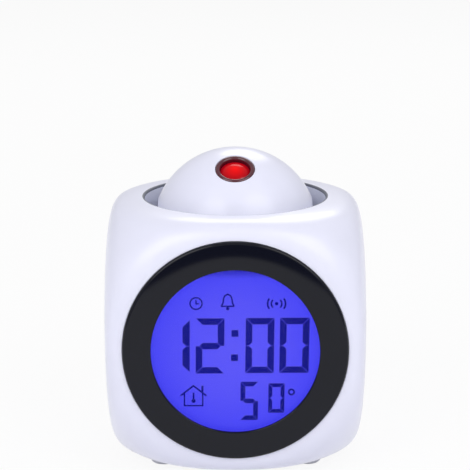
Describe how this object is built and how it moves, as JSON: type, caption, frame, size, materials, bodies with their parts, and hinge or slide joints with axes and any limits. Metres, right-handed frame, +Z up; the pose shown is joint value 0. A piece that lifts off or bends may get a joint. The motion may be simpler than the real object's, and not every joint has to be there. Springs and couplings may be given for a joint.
{
  "type": "projection alarm clock",
  "caption": "Soft-cube alarm clock with a round blue display in a black ring and a tilting projector ball sunk in its top.",
  "frame": {"origin": "centre of the base, on the surface the clock stands on", "axes": "+Z up, the display faces -Y, +X is to the right seen from the front"},
  "size_m": [0.078, 0.0796, 0.0933],
  "materials": {
    "housing": "satin moulded plastic",
    "key": "satin moulded plastic",
    "ball": "satin moulded plastic",
    "foot": "matt rubber",
    "bezel": "polished black",
    "crystal": "clear polished plastic",
    "lcd": "backlit blue display",
    "light_panel": "diffusing acrylic",
    "strip": "layered contact rubber",
    "inner_plastic": "moulded plastic",
    "board": "coated circuit board",
    "black_part": "moulded black",
    "metal": "plated",
    "magnet": "bare ferrite",
    "cell": "plain metal jacket",
    "lens_ring": "polished",
    "lens": "lit red lens",
    "slide": "small display glass",
    "lamp": "clear red lamp"
  },
  "bodies": {
    "housing": {"main_shell": "housing", "rear_shell": "housing", "foot_front_left": "foot", "foot_front_right": "foot", "foot_rear_left": "foot", "foot_rear_right": "foot", "bezel_ring": "bezel", "crystal": "crystal", "lcd_glass": "lcd", "backlight_panel": "light_panel", "contact_strip_top": "strip", "contact_strip_bottom": "strip", "lcd_tray": "inner_plastic", "main_board": "board", "chip_cap": "black_part", "quartz_can": "metal", "capacitor": "black_part", "temperature_probe": "black_part", "speaker_basket": "metal", "speaker_magnet": "magnet", "chassis": "inner_plastic", "snooze_switch": "black_part", "return_spring_left": "metal", "return_spring_right": "metal", "key_board": "board", "key_switch_1": "black_part", "key_switch_2": "black_part", "key_switch_3": "black_part", "key_switch_4": "black_part", "battery_cell_1": "cell", "battery_cell_2": "cell", "battery_cell_3": "cell", "battery_contacts_left": "metal", "battery_contacts_right": "metal"},
    "yoke": {"yoke": "inner_plastic", "guide_clip_left": "metal", "guide_clip_right": "metal"},
    "ball": {"projector_ball": "ball", "ball_cover": "ball", "lens_ring": "lens_ring", "lens": "lens", "lens_barrel": "black_part", "projection_slide": "slide", "lamp_board": "board", "projection_lamp": "lamp"},
    "key_a": {"key_1": "key"},
    "key_b": {"key_2": "key"},
    "key_c": {"key_3": "key"},
    "key_d": {"key_4": "key"},
    "door": {"battery_door": "housing"}
  },
  "joints": [
    {"name": "snooze_press", "type": "slide", "parent": "housing", "child": "yoke", "axis": [0, 0, -1], "range_m": [0, 0.0015], "stiffness_N_per_m": 900, "springref_m": -0.0012, "deforming": ["return_spring_left", "return_spring_right"]},
    {"name": "ball_tilt", "type": "hinge", "parent": "yoke", "child": "ball", "pos_m": [0, 0, 0.0676], "axis": [-1, 0, 0], "range_deg": [-25, 85]},
    {"name": "key_press_1", "type": "slide", "parent": "housing", "child": "key_a", "axis": [0, -1, 0], "range_m": [0, 0.001], "stiffness_N_per_m": 300, "springref_m": -0.001},
    {"name": "key_press_2", "type": "slide", "parent": "housing", "child": "key_b", "axis": [0, -1, 0], "range_m": [0, 0.001], "stiffness_N_per_m": 300, "springref_m": -0.001},
    {"name": "key_press_3", "type": "slide", "parent": "housing", "child": "key_c", "axis": [0, -1, 0], "range_m": [0, 0.001], "stiffness_N_per_m": 300, "springref_m": -0.001},
    {"name": "key_press_4", "type": "slide", "parent": "housing", "child": "key_d", "axis": [0, -1, 0], "range_m": [0, 0.001], "stiffness_N_per_m": 300, "springref_m": -0.001},
    {"name": "door_hinge", "type": "hinge", "parent": "housing", "child": "door", "pos_m": [0, 0.038, 0.0222], "axis": [-1, 0, 0], "range_deg": [0, 85]}
  ]
}
